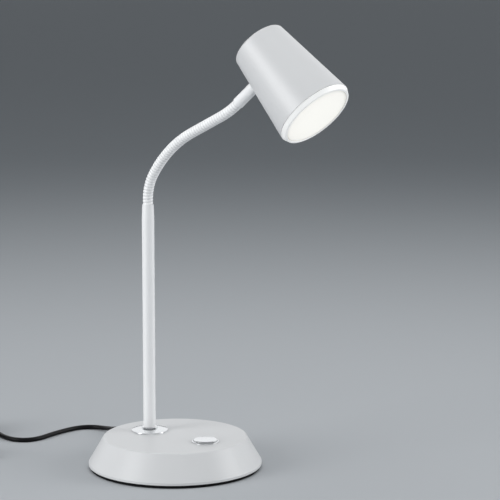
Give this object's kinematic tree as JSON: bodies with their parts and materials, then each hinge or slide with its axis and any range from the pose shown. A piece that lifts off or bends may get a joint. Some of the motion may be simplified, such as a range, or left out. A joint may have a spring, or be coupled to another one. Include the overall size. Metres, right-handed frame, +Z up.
{
  "type": "table lamp",
  "caption": "White gooseneck table lamp: round weighted base with a chrome push button, upright post, bendable ribbed neck and a tapered LED spot head, with a coiled black mains lead.",
  "frame": {"origin": "centre of the base's underside, on the table", "axes": "+X from the post towards the button and the head, +Z up, the neck's bend in the plane Y = 0"},
  "size_m": [0.4822, 0.207, 0.4325],
  "materials": {
    "white_paint": "satin",
    "white_hose": "satin",
    "white_shade": "satin",
    "white_plastic": "satin",
    "opal": "matte",
    "chrome": "polished",
    "black_rubber": "satin",
    "black_plastic": "matte",
    "cast_iron": "matte",
    "aluminium": "satin",
    "yellow_plastic": "satin",
    "green_board": "satin",
    "brass": "polished",
    "core_plastic": "satin",
    "steel": "satin"
  },
  "bodies": {
    "base": {"base_pad": "black_rubber", "base_plate": "steel", "base_screws": "steel", "base_shell": "white_paint", "base_weight": "cast_iron", "bezel_nut": "steel", "button_bezel": "chrome", "button_spring": "steel", "clamp_block": "black_plastic", "clamp_bridge": "black_plastic", "clamp_screws": "steel", "cord_gland": "black_rubber", "driver_board": "green_board", "driver_cover": "white_plastic", "driver_parts": "black_plastic", "driver_tray": "white_plastic", "lamp_wire": "core_plastic", "lead_coil": "black_rubber", "lead_tail": "black_rubber", "lead_ties": "black_plastic", "mains_cores": "core_plastic", "mains_lead": "black_rubber", "neck_link_01": "white_hose", "plug_body": "black_plastic", "plug_lead": "black_rubber", "plug_pins": "brass", "post": "white_paint", "post_collar": "chrome", "post_nipple": "steel", "post_nut": "steel", "post_washer": "steel", "rosette": "chrome", "switch_body": "black_plastic", "switch_wires": "core_plastic"},
    "neck_02": {"neck_link_02": "white_hose"},
    "neck_03": {"neck_link_03": "white_hose"},
    "neck_04": {"neck_link_04": "white_hose"},
    "neck_05": {"neck_link_05": "white_hose"},
    "neck_06": {"neck_link_06": "white_hose"},
    "neck_07": {"neck_link_07": "white_hose"},
    "neck_08": {"neck_link_08": "white_hose"},
    "neck_09": {"neck_link_09": "white_hose"},
    "neck_10": {"neck_link_10": "white_hose"},
    "neck_11": {"neck_link_11": "white_hose"},
    "neck_12": {"neck_link_12": "white_hose"},
    "head": {"neck_link_13": "white_hose", "neck_sleeve": "white_paint", "head_saddle": "steel", "head_nut": "steel", "head_wire": "core_plastic", "shade": "white_shade", "heat_sink": "aluminium", "led_board": "aluminium", "led_chips": "yellow_plastic", "reflector": "white_plastic", "diffuser": "opal", "front_ring": "white_plastic"},
    "button": {"button_cap": "chrome"}
  },
  "joints": [
    {"name": "neck_pitch_01", "type": "hinge", "parent": "base", "child": "neck_02", "pos_m": [-0.0331, 0, 0.258], "axis": [0.001, 1, 0], "range_deg": [-14, 14]},
    {"name": "neck_side_02", "type": "hinge", "parent": "neck_02", "child": "neck_03", "pos_m": [-0.03118, 0, 0.27179], "axis": [-0.9592, 0, 0.2827], "range_deg": [-14, 14]},
    {"name": "neck_pitch_03", "type": "hinge", "parent": "neck_03", "child": "neck_04", "pos_m": [-0.02531, 0, 0.28441], "axis": [0.001, 1, 0], "range_deg": [-14, 14]},
    {"name": "neck_side_04", "type": "hinge", "parent": "neck_04", "child": "neck_05", "pos_m": [-0.01702, 0, 0.29564], "axis": [-0.769, 0, 0.6392], "range_deg": [-14, 14]},
    {"name": "neck_pitch_05", "type": "hinge", "parent": "neck_05", "child": "neck_06", "pos_m": [-0.00749, 0, 0.30585], "axis": [0.001, 1, 0], "range_deg": [-14, 14]},
    {"name": "neck_side_06", "type": "hinge", "parent": "neck_06", "child": "neck_07", "pos_m": [0.00314, 0, 0.3149], "axis": [-0.6038, 0, 0.7971], "range_deg": [-14, 14]},
    {"name": "neck_pitch_07", "type": "hinge", "parent": "neck_07", "child": "neck_08", "pos_m": [0.01473, 0, 0.32268], "axis": [0.001, 1, 0], "range_deg": [-14, 14]},
    {"name": "neck_side_08", "type": "hinge", "parent": "neck_08", "child": "neck_09", "pos_m": [0.02709, 0, 0.32918], "axis": [-0.4446, 0, 0.8957], "range_deg": [-14, 14]},
    {"name": "neck_pitch_09", "type": "hinge", "parent": "neck_09", "child": "neck_10", "pos_m": [0.0396, 0, 0.33539], "axis": [0.001, 1, 0], "range_deg": [-14, 14]},
    {"name": "neck_side_10", "type": "hinge", "parent": "neck_10", "child": "neck_11", "pos_m": [0.05211, 0, 0.3416], "axis": [-0.4446, 0, 0.8957], "range_deg": [-14, 14]},
    {"name": "neck_pitch_11", "type": "hinge", "parent": "neck_11", "child": "neck_12", "pos_m": [0.06453, 0, 0.348], "axis": [0.001, 1, 0], "range_deg": [-14, 14]},
    {"name": "neck_side_12", "type": "hinge", "parent": "neck_12", "child": "head", "pos_m": [0.07609, 0, 0.35582], "axis": [-0.6171, 0, 0.7868], "range_deg": [-14, 14]},
    {"name": "button_press", "type": "slide", "parent": "base", "child": "button", "axis": [0, 0, -1], "range_m": [0, 0.002], "stiffness_N_per_m": 500, "springref_m": -0.002, "deforming": ["button_spring"]}
  ],
  "couplings": [
    {"joint": "neck_pitch_03", "follows": "neck_pitch_01", "ratio": 1},
    {"joint": "neck_pitch_05", "follows": "neck_pitch_01", "ratio": 1},
    {"joint": "neck_side_04", "follows": "neck_side_02", "ratio": 1},
    {"joint": "neck_side_06", "follows": "neck_side_02", "ratio": 1},
    {"joint": "neck_pitch_09", "follows": "neck_pitch_07", "ratio": 1},
    {"joint": "neck_pitch_11", "follows": "neck_pitch_07", "ratio": 1},
    {"joint": "neck_side_10", "follows": "neck_side_08", "ratio": 1},
    {"joint": "neck_side_12", "follows": "neck_side_08", "ratio": 1}
  ]
}
